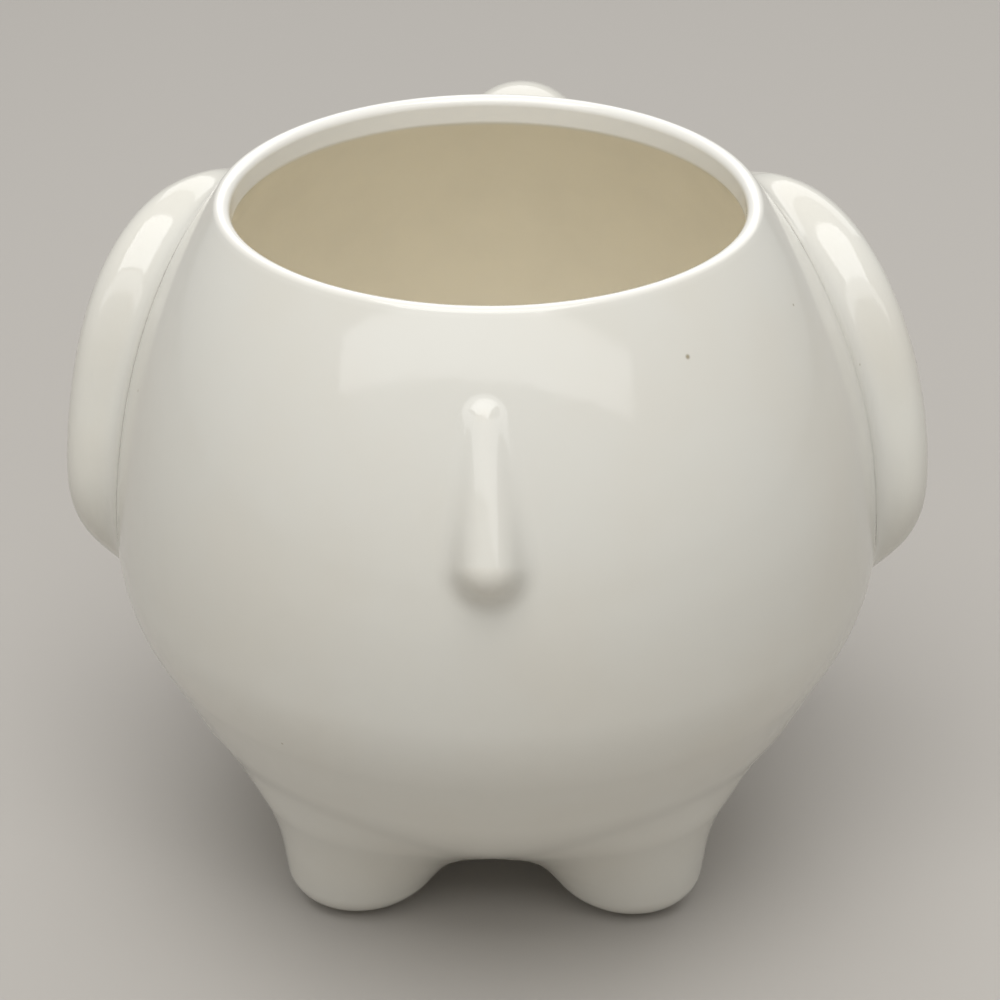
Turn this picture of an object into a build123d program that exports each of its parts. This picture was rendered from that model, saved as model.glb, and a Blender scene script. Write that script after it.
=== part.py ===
"""Elephant planter: a slip-cast pot with its ears, trunk, tail, feet and face stuck on with slip.

Millimetres, +Z up. The animal faces -Y, its left side is +X, and its feet stand on z = 0.
Each stuck-on piece is trimmed by the outside of the pot, so that it seats on the wall face to face.
"""

import os
from math import atan2, cos, radians, sin, sqrt, tan

from build123d import *

# Pot: a flat belly, a round corner, a straight flank, a tight bulge and one long shoulder. The mouth is
# cut straight down through the shoulder, and rim_height is that of the cut's sharp edge, before rounding.
body_diameter = 134.0
wall = 4.8
belly_clearance = 13.0
corner_radius = 47.0
flank_lean_degrees = 26.5
bulge_radius = 31.0
bulge_height = 65.0
mouth_diameter = 86.0
rim_height = 129.7
rim_rounding = 1.6
seam_degrees = 70.0

# Ears: how far the flap's face stands out, back and up from the wall, and its outline seen from the side
ear_stand_out = 8.5
ear_stand_back = 3.0
ear_stand_up = 9.0
ear_edge_radius = 4.0
ear_bottom = 51.8
ear_height = 67.0
ear_setback = 19.0
ear_length = 54.0
# Round the outline from the top, by way of the rear edge: share of the length, share of the height.
ear_outline_shares = (
    (0.44, 1.0),
    (0.75, 0.87),
    (0.94, 0.54),
    (1.0, 0.23),
    (0.78, 0.0),
    (0.32, 0.12),
    (0.0, 0.5),
    (0.1, 0.87),
)

# Trunk: rises are above its root, reaches are beyond the front of the pot, and its tip sways to one side
trunk_root_height = 68.0
trunk_root_diameter = 40.0
trunk_root_depth = 14.0
trunk_elbow_rise = 8.5
trunk_elbow_reach = 5.5
trunk_tip_rise = 47.3
trunk_tip_reach = 12.0
trunk_tip_diameter = 26.0
trunk_sway = 4.5
trunk_section_shares = (0.0, 0.2, 0.4, 0.6, 0.8, 1.0)
trunk_taper_shares = (0.0, 0.25, 0.5, 0.73, 0.92, 1.0)

# Lower lip, a drop below the trunk's root
lip_radius = 10.0
lip_thickness = 11.0
lip_stand_off = 8.5
lip_drop = 22.0

# Eyes
eye_diameter = 13.0
eye_spacing = 44.0
eye_height = 92.0
eye_stand_off = 2.4

# Tail: its root lies below the rim, and its end stands off the wall
tail_drop = 14.6
tail_height = 22.0
tail_root_diameter = 4.6
tail_end_diameter = 8.0
tail_end_stand_off = 5.8

# Feet
foot_spacing_x = 50.4
foot_spacing_y = 45.0
foot_diameter = 22.0
foot_flat = 9.0
foot_waist_diameter = 26.0
foot_waist_height = 9.0
foot_root_diameter = 42.0
foot_root_inset = 1.5
foot_root_rise = 22.0

# Corners of the wall's outside, as radius and height, with the direction that points into the wall there
body_radius = body_diameter / 2
mouth_radius = mouth_diameter / 2
flank_lean = radians(flank_lean_degrees)
knee_run = bulge_radius * tan(flank_lean / 2)
knee_height = bulge_height - knee_run
toe_radius = body_radius - (knee_height - belly_clearance) * tan(flank_lean)
toe_run = corner_radius * tan((radians(90) - flank_lean) / 2)
up_the_flank = Vector(sin(flank_lean), cos(flank_lean))
into_the_flank = Vector(-cos(flank_lean), sin(flank_lean))
shoulder_lean = 2 * atan2(body_radius - mouth_radius, rim_height - bulge_height)
shoulder_radius = (rim_height - bulge_height) / sin(shoulder_lean)
shoulder_reach = shoulder_radius * cos(shoulder_lean)
wall_corners = (
    (Vector(toe_radius - toe_run, belly_clearance), Vector(0, 1)),
    (Vector(toe_radius, belly_clearance) + up_the_flank * toe_run, into_the_flank),
    (Vector(body_radius, knee_height) - up_the_flank * knee_run, into_the_flank),
    (Vector(body_radius, bulge_height), Vector(-1, 0)),
)


def wall_line(depth):
    """Draw the wall's line a depth inside its outside, and return its ends at the belly and at the mouth."""
    flat, flank_low, flank_high, bulge = [corner + inward * depth for corner, inward in wall_corners]
    rim = Vector(mouth_radius, bulge_height + sqrt((shoulder_radius - depth) ** 2 - shoulder_reach**2))
    TangentArc(flat, flank_low, tangent=(1, 0))
    Line(flank_low, flank_high)
    TangentArc(flank_high, bulge, tangent=up_the_flank)
    TangentArc(bulge, rim, tangent=(0, 1))
    return flat, rim


def wall_y(across, height):
    """Distance of the wall's outside from the plane through both ears, at a place across and a height."""
    low_share = 0.0
    high_share = 1.0
    for _ in range(40):
        middle_share = (low_share + high_share) / 2
        if (outside.wire() @ middle_share).Y < height:
            low_share = middle_share
        else:
            high_share = middle_share
    return sqrt((outside.wire() @ low_share).X ** 2 - across**2)


with BuildLine() as outside:
    wall_line(0)

# Pot, hollow down to a flat floor, with a rounded rim; its seam runs clear of every stuck-on piece
wall_plane = Plane.XZ.rotated((0, 0, seam_degrees))
with BuildPart() as pot_body:
    with BuildSketch(wall_plane):
        with BuildLine():
            belly, rim_outside = wall_line(0)
            floor, rim_inside = wall_line(wall)
            Line(rim_outside, rim_inside)
            Polyline(floor, (0, floor.Y), (0, belly.Y), belly)
        make_face()
        fillet(vertices().group_by(Axis.Y)[-1], rim_rounding)
    revolve(axis=Axis.Z)

# Filled pot, the seat that trims the stuck-on pieces
with BuildPart() as pot_core:
    with BuildSketch(wall_plane):
        with BuildLine():
            belly, rim_outside = wall_line(0)
            Polyline(rim_outside, (0, rim_outside.Y), (0, belly.Y), belly)
        make_face()
    revolve(axis=Axis.Z)

# Ear: a thick flap whose face is the pot's own wall, shifted, and whose free edge is rounded
ear_points = []
for along_share, height_share in ear_outline_shares:
    ear_y = ear_length * along_share + ear_setback - body_radius
    ear_points.append((ear_y, ear_bottom + ear_height * height_share))
ear_shift = Location((ear_stand_out, ear_stand_back, ear_stand_up))
with BuildPart() as ear_left:
    with BuildSketch(Plane.YZ):
        with BuildLine():
            Spline(*ear_points, periodic=True)
        make_face()
    extrude(amount=body_diameter)
    add(pot_core.part.moved(ear_shift), mode=Mode.INTERSECT)
    flap_side = faces().filter_by(GeomType.EXTRUSION)
    flap_base = faces().filter_by(GeomType.PLANE)
    flap_face = faces() - flap_side - flap_base
    fillet(flap_side.edges() & flap_face.edges(), ear_edge_radius)
    add(pot_core.part, mode=Mode.SUBTRACT)

with BuildPart() as ear_right:
    mirror(ear_left.part, about=Plane.YZ)

# Raised trunk: round sections along a curve that leaves the front wall and turns up
tip_radius = trunk_tip_diameter / 2
with BuildLine():
    trunk_curve = Spline(
        (0, trunk_root_depth - wall_y(0, trunk_root_height), trunk_root_height),
        (0, -body_radius - trunk_elbow_reach, trunk_root_height + trunk_elbow_rise),
        (-trunk_sway, -body_radius - trunk_tip_reach, trunk_root_height + trunk_tip_rise - tip_radius),
        tangents=((0, -1, 0), (0, 0, 1)),
    )
with BuildPart() as trunk:
    for section_share, taper_share in zip(trunk_section_shares, trunk_taper_shares):
        diameter = trunk_root_diameter + (trunk_tip_diameter - trunk_root_diameter) * taper_share
        section = Plane(trunk_curve @ section_share, x_dir=(1, 0, 0), z_dir=trunk_curve % section_share)
        with BuildSketch(section):
            Circle(diameter / 2)
    loft()
    with Locations(trunk_curve @ 1):
        Sphere(tip_radius, arc_size1=0, align=(Align.CENTER, Align.CENTER, Align.MIN))
    add(pot_core.part, mode=Mode.SUBTRACT)

# Lower lip: a ring sunk in the front wall, so that a crescent stands out under the trunk
lip_height = trunk_root_height - lip_drop
lip_y = lip_radius + lip_thickness / 2 - lip_stand_off - wall_y(0, lip_height)
with BuildPart() as lower_lip:
    with Locations((0, lip_y, lip_height)):
        Torus(lip_radius, lip_thickness / 2)
    add(pot_core.part, mode=Mode.SUBTRACT)
    add(trunk.part, mode=Mode.SUBTRACT)

# Eye: a dome on the front wall
eye_x = eye_spacing / 2
eye_y = eye_diameter / 2 - eye_stand_off - wall_y(eye_x, eye_height)
with BuildPart() as eye_left:
    with Locations((eye_x, eye_y, eye_height)):
        Sphere(eye_diameter / 2)
    add(pot_core.part, mode=Mode.SUBTRACT)

with BuildPart() as eye_right:
    mirror(eye_left.part, about=Plane.YZ)

# Tail: a tapered drop that hangs down the rear wall and stands off it most at its end
tail_end_radius = tail_end_diameter / 2
tail_root_height = rim_height - tail_drop
tail_end_height = tail_root_height - tail_height
tail_root = Vector(0, wall_y(0, tail_root_height), tail_root_height)
tail_end = Vector(0, wall_y(0, tail_end_height) + tail_end_stand_off - tail_end_radius, tail_end_height)
with BuildPart() as tail:
    with BuildSketch(Plane(tail_end, x_dir=tail_root - tail_end, z_dir=(1, 0, 0))):
        Circle(tail_end_radius)
        with Locations(((tail_root - tail_end).length, 0)):
            Circle(tail_root_diameter / 2)
        make_hull()
        split(bisect_by=Plane.XZ)
    revolve(axis=Axis(tail_end, tail_root - tail_end))
    add(pot_core.part, mode=Mode.SUBTRACT)

# Foot: a round stump with a flat sole, widening up into the belly
foot_out = Vector(foot_spacing_x / 2, foot_spacing_y / 2, 0)
foot_root = foot_out - foot_out.normalized() * foot_root_inset
foot_sections = (
    (foot_out, 0, foot_diameter),
    (foot_out, foot_waist_height, foot_waist_diameter),
    (foot_root, belly_clearance + foot_root_rise, foot_root_diameter),
)
with BuildPart() as foot_rear_left:
    for center, height, diameter in foot_sections:
        with BuildSketch(Plane(center).offset(height)):
            Circle(diameter / 2)
    loft()
    fillet(edges().sort_by(Axis.Z)[0], (foot_diameter - foot_flat) / 2)
    add(pot_core.part, mode=Mode.SUBTRACT)

with BuildPart() as foot_rear_right:
    mirror(foot_rear_left.part, about=Plane.YZ)

with BuildPart() as foot_front_left:
    mirror(foot_rear_left.part, about=Plane.XZ)

with BuildPart() as foot_front_right:
    mirror(foot_rear_right.part, about=Plane.XZ)

# The origin is on the floor, midway between the animal's front and its rear
pieces = {
    "pot_body": pot_body.part,
    "ear_left": ear_left.part,
    "ear_right": ear_right.part,
    "trunk": trunk.part,
    "lower_lip": lower_lip.part,
    "eye_left": eye_left.part,
    "eye_right": eye_right.part,
    "tail": tail.part,
    "foot_front_left": foot_front_left.part,
    "foot_front_right": foot_front_right.part,
    "foot_rear_left": foot_rear_left.part,
    "foot_rear_right": foot_rear_right.part,
}
front = min(piece.bounding_box().min.Y for piece in pieces.values())
rear = max(piece.bounding_box().max.Y for piece in pieces.values())
to_origin = Location((0, -(front + rear) / 2, 0))

os.makedirs("parts", exist_ok=True)
for name, piece in pieces.items():
    piece.locate(to_origin)
    piece.label = name
    export_step(piece, f"parts/{name}.step")
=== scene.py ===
"""Elephant planter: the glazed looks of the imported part.

Metres, +Z up. The animal faces -Y, so the camera stands behind it, on the +Y side.
The pot is a lathed shell. Each stuck-on piece is a closed skin over the surface where its own form runs
into the wall in a fillet of slip. The forms are distance fields, below zero inside and above zero outside.
"""

import itertools
import math

import bpy
import numpy as np
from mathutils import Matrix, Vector


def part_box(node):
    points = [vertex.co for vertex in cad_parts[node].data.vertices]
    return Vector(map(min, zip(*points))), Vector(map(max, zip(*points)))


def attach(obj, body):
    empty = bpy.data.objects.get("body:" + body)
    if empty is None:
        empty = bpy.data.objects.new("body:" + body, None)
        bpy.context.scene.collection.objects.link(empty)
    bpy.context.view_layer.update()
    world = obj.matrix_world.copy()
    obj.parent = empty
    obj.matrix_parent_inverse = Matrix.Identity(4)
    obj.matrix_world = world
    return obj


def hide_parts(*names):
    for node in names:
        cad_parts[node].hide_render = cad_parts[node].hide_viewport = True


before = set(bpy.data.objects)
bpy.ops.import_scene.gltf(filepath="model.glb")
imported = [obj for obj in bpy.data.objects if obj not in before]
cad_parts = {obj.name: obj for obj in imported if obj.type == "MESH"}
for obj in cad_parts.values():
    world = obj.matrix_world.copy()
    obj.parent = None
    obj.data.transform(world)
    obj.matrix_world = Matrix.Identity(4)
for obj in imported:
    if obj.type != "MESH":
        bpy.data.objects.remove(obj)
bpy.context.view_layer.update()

# Pot: a flat belly, a round corner, a straight flank, a tight bulge and one long shoulder with a cut mouth
pot_low, pot_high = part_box("pot_body")
axis_y = (pot_low.y + pot_high.y) / 2
body_radius = 0.067
belly_height = 0.013
wall = 0.0048
corner_radius = 0.047
flank_lean = math.radians(26.5)
bulge_radius = 0.031
bulge_height = 0.065
mouth_radius = 0.043
rim_height = 0.1297
rim_rounding = 0.0016
inner_edge_rounding = 0.0012
pot_segments = 288
ring_spacing = 0.0009
least_rings = 10
least_ring_share = 0.05
shoulder_reach = math.radians(60)

# Slip fillets round the stuck-on pieces, and how deep their hidden backs sit in the wall
ear_fillet = 0.005
trunk_fillet = 0.008
lip_fillet = 0.003
eye_fillet = 0.0016
tail_root_fillet = 0.0036
tail_end_fillet = 0.0065
foot_fillet = 0.0115
skin_depth = 0.0022
skin_margin = 0.0006
skin_sink = 0.00003
# Shares of a fillet's width: where the skin starts to sink, and where its normals turn to the wall's
sink_start = 0.8
wall_normal_start = 0.5
wall_normal_end = 0.85

# Ears: how far the flap's face stands out, back and up from the wall, and its outline seen from the side
ear_shift = np.array((0.0085, 0.003, 0.009))
ear_edge_radius = 0.004
ear_bottom = 0.0518
ear_height = 0.067
ear_setback = 0.019
ear_length = 0.054
ear_room = 0.014
ear_spans = 90
# Round the outline from the top, by way of the rear edge: share of the length, share of the height
ear_outline_shares = (
    (0.44, 1.0),
    (0.75, 0.87),
    (0.94, 0.54),
    (1.0, 0.22),
    (0.79, -0.02),
    (0.32, 0.12),
    (0.0, 0.5),
    (0.1, 0.87),
)

# Trunk: rises are above its root, reaches are beyond the front of the pot
trunk_root_height = 0.068
trunk_root_diameter = 0.040
trunk_root_depth = 0.014
trunk_elbow_rise = 0.0085
trunk_elbow_reach = 0.0055
trunk_tip_rise = 0.0473
trunk_tip_reach = 0.012
trunk_tip_diameter = 0.026
trunk_sway = 0.0045
trunk_spans = 80
taper_spans = 30
# Along the trunk from its root: share of the length, share of the taper
trunk_taper_shares = ((0.0, 0.0), (0.2, 0.25), (0.4, 0.5), (0.6, 0.73), (0.8, 0.92), (1.0, 1.0))
taper_directions = ((0.62, 0.78), (1.0, 0.0))

# Lower lip, eyes and tail
lip_radius = 0.010
lip_thickness = 0.011
lip_stand_off = 0.0085
lip_drop = 0.022
eye_diameter = 0.013
eye_spacing = 0.044
eye_height = 0.092
eye_stand_off = 0.0024
tail_drop = 0.0146
tail_height = 0.022
tail_root_diameter = 0.0034
tail_end_diameter = 0.008
tail_end_stand_off = 0.0054
tail_root_slump = 0.0030
tail_root_sink = 0.0015
tail_swell = 0.75
tail_beads = 80

# Feet: soft stumps that widen and draw inwards towards the belly
foot_spacing_x = 0.0505
foot_spacing_y = 0.047
foot_sole_radius = 0.0108
foot_squeeze = 0.94
foot_flare = 0.33
foot_draw_in = 0.24
foot_edge_radius = 0.0065
foot_top = 0.034
foot_top_radius = 0.010
foot_room = 0.012
sole_glaze_gap = 0.0006

# Settling in the kiln: the mouth leans to the animal's left and flattens at the rear, and the wall draws in
# by shallow waves of two and three lobes, which twist on the way up
mouth_lean = 0.0014
mouth_flattening = 0.002
lean_start = 0.080
draw_in_share = 0.004
draw_in_level = 0.4
two_lobe_offset = 0.7
two_lobe_twist = 1.5
three_lobe_twist = 2.1
settle_step = 0.0001

# Meshing of the skins
skin_step = 0.0008
fine_skin_step = 0.0005
skin_room = 0.003
relax_rounds = 5
project_rounds = 2
bead_batch = 20000
least_curving = 1e-12
least_square_rate = 0.1
slope_step = 0.00002
bend_step = 0.0004


def unit(vectors):
    """Vectors at length one."""
    return vectors / np.linalg.norm(vectors, axis=-1, keepdims=True)


def curve_through(points, spans, closed=False, tangents=None):
    """Sample a smooth curve through points, either closed or with the directions of its ends given."""
    points = np.array(points, float)
    if closed:
        points = np.vstack([points, points[:1]])
    count = len(points)
    runs = np.linalg.norm(np.diff(points, axis=0), axis=1)
    rates = np.diff(points, axis=0) / runs[:, None]
    matrix = np.eye(count)
    slopes = np.zeros_like(points)
    for i in range(count):
        before = runs[i - 1] if i else runs[-1]
        after = runs[i] if i < count - 1 else runs[0]
        rate_before = rates[i - 1] if i else rates[-1]
        rate_after = rates[i] if i < count - 1 else rates[0]
        if closed or 0 < i < count - 1:
            row = np.zeros(count)
            row[i - 1 if i else count - 2] = 1 / before
            row[i] = 2 / before + 2 / after
            row[i + 1 if i < count - 1 else 1] = 1 / after
            matrix[i] = row
            slopes[i] = 3 * (rate_before / before + rate_after / after)
        else:
            slopes[i] = tangents[0] if i == 0 else tangents[1]
    slopes = np.linalg.solve(matrix, slopes)
    share = np.linspace(0, 1, spans, endpoint=False)[:, None]
    pieces = []
    for i, run in enumerate(runs):
        bulge = share * (1 - share)
        straight = points[i] + (points[i + 1] - points[i]) * share * share * (3 - 2 * share)
        pieces.append(straight + run * bulge * ((1 - share) * slopes[i] - share * slopes[i + 1]))
    if not closed:
        pieces.append(points[-1:])
    return np.vstack(pieces)


def fade(values, start, end):
    """Zero up to a start, one from an end on, and smooth between them."""
    share = np.clip((values - start) / (end - start), 0, 1)
    return share * share * (3 - 2 * share)


def round_union(first, second, radius):
    """Two forms in one, with a fillet between them that starts and ends gently."""
    corner = np.cbrt(np.maximum(radius - first, 0) ** 3 + np.maximum(radius - second, 0) ** 3)
    return np.maximum(radius, np.minimum(first, second)) - corner


def round_overlap(first, second, radius):
    """What two forms share, with its edge rounded to a radius."""
    edge = np.hypot(np.maximum(radius + first, 0), np.maximum(radius + second, 0))
    return np.minimum(-radius, np.maximum(first, second)) + edge


# The wall's outside as arcs, each a centre, a radius and two angles, with a straight flank after the first
knee_run = bulge_radius * math.tan(flank_lean / 2)
knee_height = bulge_height - knee_run
toe_radius = body_radius - (knee_height - belly_height) * math.tan(flank_lean)
toe_run = corner_radius * math.tan((math.radians(90) - flank_lean) / 2)
shoulder_lean = 2 * math.atan2(body_radius - mouth_radius, rim_height - bulge_height)
shoulder_radius = (rim_height - bulge_height) / math.sin(shoulder_lean)
flat_radius = toe_radius - toe_run
corner_centre = (flat_radius, belly_height + corner_radius)
bulge_centre = (body_radius - bulge_radius, bulge_height)
shoulder_centre = (body_radius - shoulder_radius, bulge_height)
wall_arcs = (
    (corner_centre, corner_radius, -math.radians(90), -flank_lean),
    (bulge_centre, bulge_radius, -flank_lean, 0.0),
    (shoulder_centre, shoulder_radius, 0.0, shoulder_lean),
)
flank_out = np.array((math.cos(flank_lean), -math.sin(flank_lean)))
flank_start = np.array(corner_centre) + corner_radius * flank_out
flank_end = np.array(bulge_centre) + bulge_radius * flank_out
flank_length = np.linalg.norm(flank_end - flank_start)


def pot_field(points):
    """Distance from the outside of the filled pot, whose shoulder runs on past the rim."""
    out = np.hypot(points[..., 0], points[..., 1] - axis_y)
    up = points[..., 2]
    along = (out - flank_start[0]) * math.sin(flank_lean) + (up - flank_start[1]) * math.cos(flank_lean)
    across = (out - flank_start[0]) * math.cos(flank_lean) - (up - flank_start[1]) * math.sin(flank_lean)
    distance = np.where((along >= 0) & (along <= flank_length), across, -bulge_radius)
    for (centre_out, centre_up), radius, first_angle, last_angle in wall_arcs:
        angle = np.arctan2(up - centre_up, out - centre_out)
        last_reach = shoulder_reach if last_angle == shoulder_lean else last_angle
        on_arc = (angle >= first_angle) & (angle <= last_reach)
        distance = np.where(on_arc, np.hypot(out - centre_out, up - centre_up) - radius, distance)
    return np.where((out <= flat_radius) & (up <= corner_centre[1]), belly_height - up, distance)


def wall_y(across, height):
    """Distance of the wall's outside from the plane through both ears, at a place across and a height."""
    for (centre_out, centre_up), radius, first_angle, last_angle in wall_arcs:
        low = centre_up + radius * math.sin(first_angle)
        high = centre_up + radius * math.sin(last_angle)
        if low <= height <= high:
            out = centre_out + math.sqrt(radius**2 - (height - centre_up) ** 2)
            return math.sqrt(out**2 - across**2)
    out = flank_start[0] + (height - flank_start[1]) * math.tan(flank_lean)
    return math.sqrt(out**2 - across**2)


def bead_field(points, centres, radii):
    """Distance from a chain of balls, made even between them by a parabola through the nearest three."""
    flat = points.reshape(-1, 3)
    nearest = []
    for some in np.array_split(flat, len(flat) // bead_batch + 1):
        squares = (some**2).sum(axis=1)[:, None] - 2 * some @ centres.T + (centres**2).sum(axis=1)
        distances = np.sqrt(np.maximum(squares, 0)) - radii
        middle = distances[:, 1:-1].argmin(axis=1)
        before, there, after = (distances[np.arange(len(some)), middle + step] for step in range(3))
        curving = np.maximum(before - 2 * there + after, least_curving)
        shift = np.clip((before - after) / (2 * curving), -1, 1)
        nearest.append(there + shift * (after - before) / 2 + shift**2 * curving / 2)
    return np.concatenate(nearest).reshape(points.shape[:-1])


# Ear outline as radius by angle about its middle, for a fast distance
ear_front = axis_y + ear_setback - body_radius
ear_knots = [(ear_front + ear_length * a, ear_bottom + ear_height * h) for a, h in ear_outline_shares]
ear_outline = curve_through(ear_knots, ear_spans, closed=True)
ear_middle = ear_outline.mean(axis=0)
ear_spokes = ear_outline - ear_middle
ear_angles = np.arctan2(ear_spokes[:, 1], ear_spokes[:, 0])
ear_order = np.argsort(ear_angles)
ear_angles = ear_angles[ear_order]
ear_radii = np.linalg.norm(ear_spokes, axis=1)[ear_order]
ear_turns = np.gradient(np.concatenate([ear_radii[-2:], ear_radii, ear_radii[:2]]))[2:-2]
ear_round = np.concatenate([ear_angles[-2:] - math.tau, ear_angles, ear_angles[:2] + math.tau])
ear_cosines = 1 / np.hypot(1, ear_turns / np.gradient(ear_round)[2:-2] / ear_radii)


def ear_field(points):
    """Distance from the left ear: a prism over its outline, ended by the pot's wall shifted outwards."""
    along = points[..., 1] - ear_middle[0]
    up = points[..., 2] - ear_middle[1]
    angle = np.arctan2(up, along)
    outline_radius = np.interp(angle, ear_angles, ear_radii, period=math.tau)
    squareness = np.interp(angle, ear_angles, ear_cosines, period=math.tau)
    side = (np.hypot(along, up) - outline_radius) * squareness
    face = np.maximum(pot_field(points - ear_shift), -points[..., 0])
    return round_overlap(side, face, ear_edge_radius)


# Trunk as a chain of balls along its middle line
tip_radius = trunk_tip_diameter / 2
trunk_knots = (
    (0, axis_y + trunk_root_depth - wall_y(0, trunk_root_height), trunk_root_height),
    (0, axis_y - body_radius - trunk_elbow_reach, trunk_root_height + trunk_elbow_rise),
    (-trunk_sway, axis_y - body_radius - trunk_tip_reach, trunk_root_height + trunk_tip_rise - tip_radius),
)
trunk_line = curve_through(trunk_knots, trunk_spans, tangents=((0, -1, 0), (0, 0, 1)))
trunk_lengths = np.concatenate([[0], np.cumsum(np.linalg.norm(np.diff(trunk_line, axis=0), axis=1))])
taper_line = curve_through(trunk_taper_shares, taper_spans, tangents=taper_directions)
trunk_tapers = np.interp(trunk_lengths / trunk_lengths[-1], taper_line[:, 0], taper_line[:, 1])
trunk_radii = (trunk_root_diameter + (trunk_tip_diameter - trunk_root_diameter) * trunk_tapers) / 2


def trunk_field(points):
    """Distance from the raised trunk."""
    return bead_field(points, trunk_line, trunk_radii)


def face_field(points):
    """Distance from the pot with its trunk, which the lower lip sits on."""
    return round_union(pot_field(points), trunk_field(points), trunk_fillet)


lip_height = trunk_root_height - lip_drop
lip_y = axis_y + lip_radius + lip_thickness / 2 - lip_stand_off - wall_y(0, lip_height)


def lip_field(points):
    """Distance from the lower lip, a ring sunk in the front wall."""
    away = points - np.array((0, lip_y, lip_height))
    return np.hypot(np.hypot(away[..., 0], away[..., 1]) - lip_radius, away[..., 2]) - lip_thickness / 2


eye_x = eye_spacing / 2
eye_y = axis_y + eye_diameter / 2 - eye_stand_off - wall_y(eye_x, eye_height)


def eye_field(points):
    """Distance from the left eye, a ball sunk in the front wall."""
    return np.linalg.norm(points - np.array((eye_x, eye_y, eye_height)), axis=-1) - eye_diameter / 2


# Tail as a chain of balls from its end up to its root
tail_end_radius = tail_end_diameter / 2
tail_root_height = rim_height - tail_drop
tail_end_height = tail_root_height - tail_height
tail_slumped_height = tail_root_height - tail_root_slump
tail_root = np.array((0, axis_y + wall_y(0, tail_slumped_height) - tail_root_sink, tail_slumped_height))
tail_end_y = axis_y + wall_y(0, tail_end_height) + tail_end_stand_off - tail_end_radius
tail_end = np.array((0, tail_end_y, tail_end_height))
tail_shares = np.linspace(0, 1, tail_beads)
tail_line = tail_end + (tail_root - tail_end) * tail_shares[:, None]
tail_root_radius = tail_root_diameter / 2
tail_radii = tail_root_radius + (tail_end_radius - tail_root_radius) * (1 - tail_shares) ** tail_swell


def tail_field(points):
    """Distance from the tail, a tapered drop that hangs down the rear wall."""
    return bead_field(points, tail_line, tail_radii)


def tail_fillet(points):
    """Fillet round the tail, which widens towards its end."""
    share = fade(points[..., 2], tail_end_height, tail_root_height)
    return tail_end_fillet + (tail_root_fillet - tail_end_fillet) * share


def foot_field(points):
    """Distance from the rear left foot, an oval stump that flares up into the belly."""
    up = points[..., 2]
    across = (points[..., 0] - foot_spacing_x / 2 + foot_draw_in * up) * foot_squeeze
    out = np.hypot(across, points[..., 1] - axis_y - foot_spacing_y / 2)
    side = (out - foot_sole_radius - foot_flare * up) / math.hypot(1, foot_flare)
    stump = round_overlap(side, -up, foot_edge_radius)
    return round_overlap(stump, up - foot_top, foot_top_radius)


def slope(field, points):
    """Direction and rate in which a field grows."""
    columns = []
    for offset in np.eye(3) * slope_step:
        columns.append((field(points + offset) - field(points - offset)) / (2 * slope_step))
    return np.stack(columns, axis=-1)


def bend_of(field, points):
    """How sharply a surface bends, above zero on edges and below zero in creases."""
    total = -6 * field(points)
    for offset in np.eye(3) * bend_step:
        total += field(points + offset) + field(points - offset)
    return total / bend_step**2


def project(field, points):
    """Move points onto the surface of a form."""
    for _ in range(project_rounds):
        rate = slope(field, points)
        square_rate = np.maximum((rate**2).sum(axis=1), least_square_rate)
        points = points - field(points)[:, None] * rate / square_rate[:, None]
    return points


def net_of(field, low, high, step):
    """Vertices and quads of a form's surface in a box, by one vertex in each crossed cell of a grid."""
    axes = [np.arange(a, b + step, step) for a, b in zip(low, high)]
    grid = np.stack(np.meshgrid(*axes, indexing="ij"), axis=-1)
    values = field(grid)
    inside = values < 0
    cell_shape = tuple(n - 1 for n in values.shape)
    corners = list(itertools.product((0, 1), repeat=3))

    def at_corner(array, corner):
        return array[tuple(slice(c, c + n) for c, n in zip(corner, cell_shape))]

    filled = sum(at_corner(inside, corner).astype(int) for corner in corners)
    crossed = (filled > 0) & (filled < len(corners))
    total = np.zeros((crossed.sum(), 3))
    hits = np.zeros(crossed.sum())
    for first, second in itertools.combinations(corners, 2):
        if sum(a != b for a, b in zip(first, second)) == 1:
            value_a = at_corner(values, first)[crossed]
            value_b = at_corner(values, second)[crossed]
            hit = (value_a < 0) != (value_b < 0)
            share = np.where(hit, value_a / np.where(hit, value_a - value_b, 1), 0)[:, None]
            point_a = at_corner(grid, first)[crossed]
            point_b = at_corner(grid, second)[crossed]
            total += np.where(hit[:, None], point_a + (point_b - point_a) * share, 0)
            hits += hit
    vertices = total / hits[:, None]
    index = np.full(cell_shape, -1)
    index[crossed] = np.arange(len(vertices))
    quads = []
    for order in ((0, 1, 2), (1, 2, 0), (2, 0, 1)):
        filling = inside.transpose(order)[:, 1:-1, 1:-1]
        cells = index.transpose(order)
        i, j, k = np.nonzero(filling[:-1] != filling[1:])
        ring = (cells[i, j, k], cells[i, j + 1, k], cells[i, j + 1, k + 1], cells[i, j, k + 1])
        ring = np.stack(ring, axis=1)
        outward = filling[i, j, k]
        quads.append(np.where(outward[:, None], ring, ring[:, ::-1]))
    return vertices, np.vstack(quads)


def relax(vertices, quads):
    """Even out a mesh by moving each vertex towards the middle of its neighbours."""
    total = np.zeros_like(vertices)
    count = np.zeros(len(vertices))
    for a, b in ((0, 1), (1, 2), (2, 3), (3, 0)):
        for start, end in ((a, b), (b, a)):
            np.add.at(total, quads[:, start], vertices[quads[:, end]])
            np.add.at(count, quads[:, start], 1)
    return (vertices + total / count[:, None]) / 2


def even(radius):
    """Fillet of the same radius all round."""
    return lambda points: radius


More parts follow.
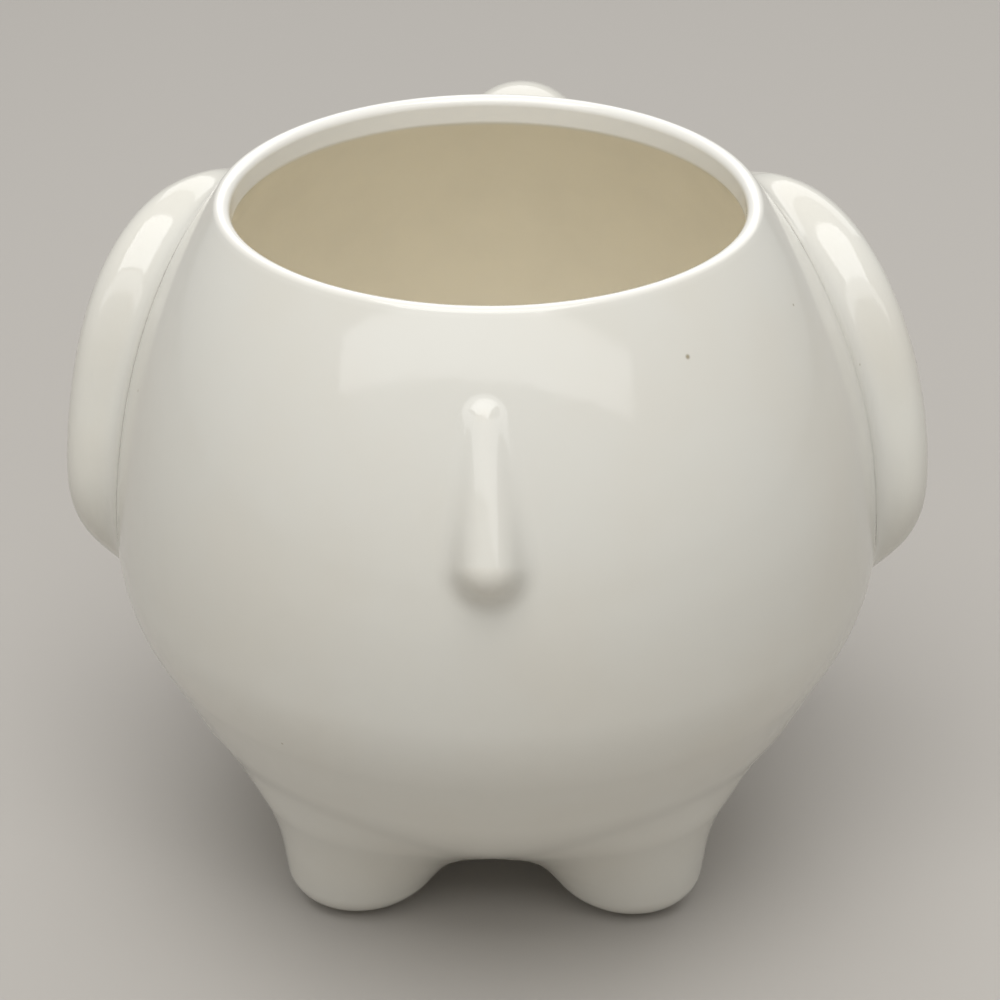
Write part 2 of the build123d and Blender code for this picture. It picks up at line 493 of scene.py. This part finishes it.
def skin(form, base, fillet, low, high, step, spare=skin_room):
    """Closed skin of a stuck-on form, run into its base in a fillet: vertices, faces, normals and marks."""

    def surface(points):
        return round_union(form(points), base(points), fillet(points))

    def body(points):
        radius = fillet(points)
        form_distance = form(points)
        base_distance = base(points)
        sunk = skin_sink * fade(form_distance / radius, sink_start, 1)
        outside = round_union(form_distance, base_distance, radius) + sunk
        back = np.maximum(-skin_depth - base_distance, form_distance - radius - skin_margin)
        return np.maximum(outside, back)

    room = np.max(fillet(np.array((low, high)))) + skin_margin + spare
    vertices, quads = net_of(body, np.array(low) - room, np.array(high) + room, step)
    vertices = project(body, project(body, vertices))
    for _ in range(relax_rounds):
        vertices = project(body, relax(vertices, quads))
    near_base = fade(form(vertices) / fillet(vertices), wall_normal_start, wall_normal_end)[:, None]
    shown = base(vertices)[:, None] > -2 * skin_sink
    outer_normals = unit(slope(surface, vertices) * (1 - near_base) + slope(base, vertices) * near_base)
    normals = np.where(shown, outer_normals, unit(slope(body, vertices)))
    marks = {
        "bend": bend_of(surface, vertices) * (1 - near_base[:, 0]),
        "sole": fade(-vertices[:, 2], -2 * sole_glaze_gap, -sole_glaze_gap),
    }
    return vertices, quads.tolist(), normals, marks


def pot_profile():
    """Section of the pot from under its belly over the rim to its floor: place, normal, bend and run."""
    rows = []

    def arc(centre, radius, first_angle, last_angle, facing=1):
        rings = max(math.ceil(radius * abs(last_angle - first_angle) / ring_spacing), least_rings)
        for angle in np.linspace(first_angle, last_angle, rings):
            out, up = math.cos(angle), math.sin(angle)
            place = (centre[0] + radius * out, centre[1] + radius * up)
            rows.append((*place, facing * out, facing * up, facing / radius))

    def straight(start, end, normal):
        rings = max(math.ceil(math.dist(start, end) / ring_spacing), 2)
        for share in np.linspace(0, 1, rings):
            place = np.array(start) + (np.array(end) - np.array(start)) * share
            rows.append((*place, *normal, 0))

    def edge(rounding, arc_radius):
        out = mouth_radius + rounding - shoulder_centre[0]
        up = math.sqrt(arc_radius**2 - out**2)
        return (mouth_radius + rounding, bulge_height + up), math.atan2(up, out)

    rim_centre, rim_angle = edge(rim_rounding, shoulder_radius - rim_rounding)
    inner_centre, inner_angle = edge(inner_edge_rounding, shoulder_radius - wall + inner_edge_rounding)
    floor_height = belly_height + wall
    straight((0, belly_height), (flat_radius, belly_height), (0, -1))
    arc(*wall_arcs[0])
    straight(flank_start, flank_end, flank_out)
    arc(*wall_arcs[1])
    arc(shoulder_centre, shoulder_radius, 0, rim_angle)
    arc(rim_centre, rim_rounding, rim_angle, math.pi)
    straight((mouth_radius, rim_centre[1]), (mouth_radius, inner_centre[1]), (-1, 0))
    arc(inner_centre, inner_edge_rounding, math.pi, math.pi + inner_angle)
    glaze_line = len(rows)
    arc(shoulder_centre, shoulder_radius - wall, inner_angle, 0, -1)
    arc(bulge_centre, bulge_radius - wall, 0, -flank_lean, -1)
    straight(flank_end - wall * flank_out, flank_start - wall * flank_out, -flank_out)
    arc(corner_centre, corner_radius - wall, -flank_lean, -math.radians(90), -1)
    straight((flat_radius, floor_height), (0, floor_height), (0, 1))
    rows = np.array(rows)
    steps = np.linalg.norm(np.diff(rows[:, :2], axis=0), axis=1)
    runs = np.concatenate([[0], np.cumsum(steps)])
    kept = np.concatenate([[True], steps > ring_spacing * least_ring_share])
    return np.column_stack([rows, runs - runs[glaze_line]])[kept]


def lathe(profile):
    """Closed shell turned about the pot's axis, which the profile starts and ends on."""
    turn = np.linspace(0, math.tau, pot_segments, endpoint=False)
    cosine, sine = np.cos(turn), np.sin(turn)

    def turned(out, up):
        heights = np.repeat(up[:, None], pot_segments, axis=1)
        return np.stack([out[:, None] * cosine, out[:, None] * sine, heights], axis=-1).reshape(-1, 3)

    out, up, normal_out, normal_up, bend, run = profile[1:-1].T
    vertices = turned(out, up) + (0, axis_y, 0)
    normals = turned(normal_out, normal_up)
    index = np.arange(len(vertices)).reshape(len(out), pot_segments)
    beside = np.roll(index, -1, axis=1)
    faces = np.stack([index[:-1], beside[:-1], beside[1:], index[1:]], axis=-1).reshape(-1, 4).tolist()
    for segment in range(pot_segments):
        faces.append((len(vertices), beside[0, segment], index[0, segment]))
        faces.append((len(vertices) + 1, index[-1, segment], beside[-1, segment]))
    vertices = np.vstack([vertices, (0, axis_y, profile[0, 1]), (0, axis_y, profile[-1, 1])])
    normals = np.vstack([normals, (0, 0, -1), (0, 0, 1)])
    bends = np.append(np.repeat(bend, pot_segments), (0, 0))
    depths = np.append(np.repeat(run, pot_segments), (profile[0, -1], profile[-1, -1]))
    # The rim and the band inside the mouth get a painted highlight: the glaze there is painted lighter for
    # the light these faces catch
    lip_highlight_marks = fade(depths, -lit_lip_run - glaze_line_width / 2, -lit_lip_run)
    marks = {"bend": bends, "inside": np.clip(0.5 + depths / glaze_line_width, 0, 1), "lip": lip_highlight_marks}
    return vertices, faces, normals, marks


def settle(points):
    """Where places of the planter come to lie after firing."""
    out = points[:, :2] - (0, axis_y)
    turn = np.arctan2(out[:, 1], out[:, 0])
    level = points[:, 2] / rim_height
    two_lobes = np.sin(2 * turn + two_lobe_offset + two_lobe_twist * level)
    three_lobes = np.sin(3 * turn - three_lobe_twist * level)
    waves = two_lobes + three_lobes
    settled = points.copy()
    settled[:, :2] -= out * (draw_in_share * (2 + waves) / 4 * fade(level, 0, draw_in_level))[:, None]
    lean = fade(points[:, 2], lean_start, rim_height)
    settled[:, 0] += mouth_lean * lean
    settled[:, 1] -= mouth_flattening * lean * fade(out[:, 1], 0, mouth_radius)
    return settled


def settle_normals(points, normals):
    """Normals after firing."""
    steps = np.eye(3) * settle_step
    along = [settle(points + step) - settle(points - step) for step in steps]
    turned = np.zeros_like(normals)
    for i in range(3):
        turned += normals[:, i : i + 1] * np.cross(along[(i + 1) % 3], along[(i + 2) % 3])
    return unit(turned)


# Glaze: where it breaks thin on edges and pools in creases, its line inside the mouth, and its specks; the
# rim and the band inside the mouth get a painted highlight
glaze_line_width = 0.004
# Painted highlight on the rim and the band inside the mouth: how far it runs out from the glaze line, and
# its colour, lighter than the glaze
lit_lip_run = 0.006
lip_painted_highlight = (0.90, 0.885, 0.83, 1)
thick_glaze = (0.755, 0.74, 0.675, 1)
thin_glaze = (0.73, 0.69, 0.60, 1)
pooled_glaze = (0.74, 0.73, 0.67, 1)
cream_inside = (0.95, 0.895, 0.76, 1)
bare_clay = (0.74, 0.70, 0.61, 1)
speck_brown = (0.27, 0.21, 0.10, 1)
speck_turn = math.radians(127.1)
speck_height = 0.1172
speck_radius = 0.0006
speck_out = wall_y(0, speck_height)
speck_y = axis_y + speck_out * math.sin(speck_turn)
speck_place = settle(np.array([(speck_out * math.cos(speck_turn), speck_y, speck_height)]))[0]
scattered_speck_scale = 85
inside_roughness = 0.1
sole_roughness = 0.6
ripple_height = 0.00006
fine_ripple_share = 0.06
# Scale and detail of the unevenness
cloud_noise = (38, 3)
line_noise = (45, 2)
stain_noise = (70, 4)
clay_noise = (900, 2)
gloss_noise = (120, 3)
ripple_noise = (95, 2)
fine_ripple_noise = (700, 2)
# Where a change starts and ends, and what it comes to there
cloud_ramp = (0.3, 0.75, 0, 0.4)
crease_ramp = (-90, -420, 0, 0.8)
edge_ramp = (150, 620, 0, 0.45)
scattered_speck_ramp = (0.012, 0.03, 0.55, 0)
speck_ramp = (0.2 * speck_radius, speck_radius, 0.75, 0)
line_wave_ramp = (0.2, 0.8, -0.06, 0.06)
line_ramp = (0.36, 0.66, 0, 1)
stain_ramp = (0.35, 0.75, 0, 0.15)
clay_ramp = (0.3, 0.7, 0, 0.4)
gloss_ramp = (0.25, 0.75, 0.06, 0.13)


def make_glaze():
    """Glossy white glaze over pale clay, cream inside the pot, bare on the soles, and with a painted
    highlight on the rim and the band inside the mouth.
    """
    material = bpy.data.materials.new("white_glaze")
    material.use_nodes = True
    nodes = material.node_tree.nodes
    shader = nodes["Principled BSDF"]

    def add(kind, inputs, **settings):
        node = nodes.new(kind)
        for name, value in settings.items():
            setattr(node, name, value)
        for name, value in inputs.items():
            if isinstance(value, bpy.types.NodeSocket):
                material.node_tree.links.new(value, node.inputs[name])
            else:
                node.inputs[name].default_value = value
        return node

    place = add("ShaderNodeTexCoord", {}).outputs["Object"]

    def noise(scale, detail):
        return add("ShaderNodeTexNoise", {"Vector": place, "Scale": scale, "Detail": detail}).outputs[0]

    def ramp(value, start, end, low, high):
        inputs = {"Value": value, "From Min": start, "From Max": end, "To Min": low, "To Max": high}
        return add("ShaderNodeMapRange", inputs, interpolation_type="SMOOTHSTEP").outputs["Result"]

    def mix(share, first, second):
        return add("ShaderNodeMix", {0: share, 6: first, 7: second}, data_type="RGBA").outputs[2]

    def combine(operation, first, second):
        return add("ShaderNodeMath", {0: first, 1: second}, operation=operation).outputs[0]

    def mark(name):
        return add("ShaderNodeAttribute", {}, attribute_name=name).outputs["Fac"]

    bend = mark("bend")
    colour = mix(ramp(noise(*cloud_noise), *cloud_ramp), thick_glaze, thin_glaze)
    colour = mix(ramp(bend, *crease_ramp), colour, pooled_glaze)
    colour = mix(ramp(bend, *edge_ramp), colour, thin_glaze)
    # Painted highlight: the rim and the band inside the mouth are painted lighter than the glaze
    colour = mix(mark("lip"), colour, lip_painted_highlight)
    specks = add("ShaderNodeTexVoronoi", {"Vector": place, "Scale": scattered_speck_scale})
    colour = mix(ramp(specks.outputs["Distance"], *scattered_speck_ramp), colour, speck_brown)
    from_speck = add("ShaderNodeVectorMath", {0: place, 1: speck_place}, operation="DISTANCE")
    colour = mix(ramp(from_speck.outputs["Value"], *speck_ramp), colour, speck_brown)
    wavy = combine("ADD", mark("inside"), ramp(noise(*line_noise), *line_wave_ramp))
    inside = ramp(wavy, *line_ramp)
    stained_cream = mix(ramp(noise(*stain_noise), *stain_ramp), cream_inside, thin_glaze)
    colour = mix(inside, colour, stained_cream)
    sole = mark("sole")
    colour = mix(sole, colour, mix(ramp(noise(*clay_noise), *clay_ramp), bare_clay, thin_glaze))
    gloss = ramp(noise(*gloss_noise), *gloss_ramp)
    gloss = combine("ADD", gloss, combine("MULTIPLY", inside, inside_roughness))
    gloss = combine("ADD", gloss, combine("MULTIPLY", sole, sole_roughness))
    fine_ripple = combine("MULTIPLY", noise(*fine_ripple_noise), fine_ripple_share)
    ripple = combine("ADD", noise(*ripple_noise), fine_ripple)
    bump = add("ShaderNodeBump", {"Height": ripple, "Strength": 1.0, "Distance": ripple_height})
    for name, value in (("Base Color", colour), ("Roughness", gloss), ("Normal", bump.outputs["Normal"])):
        material.node_tree.links.new(value, shader.inputs[name])
    return material


glaze = make_glaze()


def add_piece(name, node, vertices, faces, normals, marks):
    """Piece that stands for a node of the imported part."""
    normals = settle_normals(vertices, normals)
    mesh = bpy.data.meshes.new(name)
    mesh.from_pydata(settle(vertices).tolist(), [], faces)
    mesh.polygons.foreach_set("use_smooth", [True] * len(mesh.polygons))
    mesh.normals_split_custom_set_from_vertices(normals.tolist())
    for mark, values in marks.items():
        mesh.attributes.new(mark, "FLOAT", "POINT").data.foreach_set("value", values.tolist())
    mesh.materials.append(glaze)
    piece = bpy.data.objects.new(name, mesh)
    bpy.context.collection.objects.link(piece)
    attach(piece, "root")
    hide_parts(node)


def add_mirrored(name, node, made, signs):
    """Piece mirrored about the planes through the pot's axis."""
    vertices, faces, normals, marks = made
    middle = np.array((0, axis_y, 0))
    if np.prod(signs) < 0:
        faces = [face[::-1] for face in faces]
    add_piece(name, node, (vertices - middle) * signs + middle, faces, normals * signs, marks)


add_piece("pot", "pot_body", *lathe(pot_profile()))
ear = skin(ear_field, pot_field, even(ear_fillet), *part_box("ear_left"), skin_step, ear_room)
add_piece("left_ear", "ear_left", *ear)
add_mirrored("right_ear", "ear_right", ear, (-1, 1, 1))
trunk = skin(trunk_field, pot_field, even(trunk_fillet), *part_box("trunk"), skin_step)
add_piece("raised_trunk", "trunk", *trunk)
lip = skin(lip_field, face_field, even(lip_fillet), *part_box("lower_lip"), fine_skin_step)
add_piece("mouth_lip", "lower_lip", *lip)
eye = skin(eye_field, pot_field, even(eye_fillet), *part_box("eye_left"), fine_skin_step)
add_piece("left_eye", "eye_left", *eye)
add_mirrored("right_eye", "eye_right", eye, (-1, 1, 1))
tail = skin(tail_field, pot_field, tail_fillet, *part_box("tail"), fine_skin_step)
add_piece("small_tail", "tail", *tail)
foot = skin(foot_field, pot_field, even(foot_fillet), *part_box("foot_rear_left"), skin_step, foot_room)
add_piece("rear_left_foot", "foot_rear_left", *foot)
add_mirrored("rear_right_foot", "foot_rear_right", foot, (-1, 1, 1))
add_mirrored("front_left_foot", "foot_front_left", foot, (1, -1, 1))
add_mirrored("front_right_foot", "foot_front_right", foot, (-1, -1, 1))

# Floor
floor_half = 3.0
floor_colour = (0.47, 0.445, 0.41, 1)
floor_roughness = 0.7
floor_mesh = bpy.data.meshes.new("floor")
floor_corners = [(-floor_half, -floor_half, 0), (floor_half, -floor_half, 0)]
floor_corners += [(floor_half, floor_half, 0), (-floor_half, floor_half, 0)]
floor_mesh.from_pydata(floor_corners, [], [(0, 1, 2, 3)])
floor = bpy.data.objects.new("floor", floor_mesh)
bpy.context.collection.objects.link(floor)
floor_material = bpy.data.materials.new("pale_floor")
floor_material.use_nodes = True
floor_shader = floor_material.node_tree.nodes["Principled BSDF"]
floor_shader.inputs["Base Color"].default_value = floor_colour
floor_shader.inputs["Roughness"].default_value = floor_roughness
floor_mesh.materials.append(floor_material)

# Light: a grey room and softboxes, each with its place from the foot of the pot's axis, size and power
world_colour = (0.65, 0.65, 0.65, 1)
world_strength = 0.5
aim_height = 0.07
softboxes = {
    "overhead": ((0.04, 0.25, 1.1), (0.9, 0.8), 8.2),
    "behind_camera": ((0.02, 0.78, 0.93), (2.2, 0.28), 3.0),
    "front_fill": ((-0.15, -0.85, 0.75), (1.4, 0.6), 3.5),
}
scene = bpy.context.scene
scene.view_settings.view_transform = "Standard"
world = bpy.data.worlds.new("studio")
world.use_nodes = True
background = world.node_tree.nodes["Background"]
background.inputs["Color"].default_value = world_colour
background.inputs["Strength"].default_value = world_strength
scene.world = world
for name, (place, size, power) in softboxes.items():
    light = bpy.data.lights.new(name, "AREA")
    light.shape = "RECTANGLE"
    light.size, light.size_y = size
    light.energy = power
    lamp = bpy.data.objects.new(name, light)
    lamp.location = np.array(place) + (0, axis_y, 0)
    aim = Vector((0, 0, aim_height)) - Vector(place)
    lamp.rotation_euler = aim.to_track_quat("-Z", "Y").to_euler()
    bpy.context.collection.objects.link(lamp)

# Camera
view_distance = 0.475
view_elevation = math.radians(30.11)
view_yaw = math.radians(-1.0)
view_height = 0.06813
view_target = np.array((0, axis_y, view_height))
view_focal_px = 2682
view_shift_px = 3
image_px = 1000
sensor_width = 36.0
clip_start = 0.01
camera_data = bpy.data.cameras.new("camera")
camera_data.sensor_width = sensor_width
camera_data.lens = view_focal_px / image_px * sensor_width
camera_data.shift_x = view_shift_px / image_px
camera_data.clip_start = clip_start
camera = bpy.data.objects.new("camera", camera_data)
view_level = math.cos(view_elevation)
sideways, backwards = math.sin(view_yaw) * view_level, math.cos(view_yaw) * view_level
towards = np.array((sideways, backwards, math.sin(view_elevation)))
camera.location = view_target + view_distance * towards
camera.rotation_euler = Vector(-towards).to_track_quat("-Z", "Y").to_euler()
bpy.context.collection.objects.link(camera)
scene.camera = camera
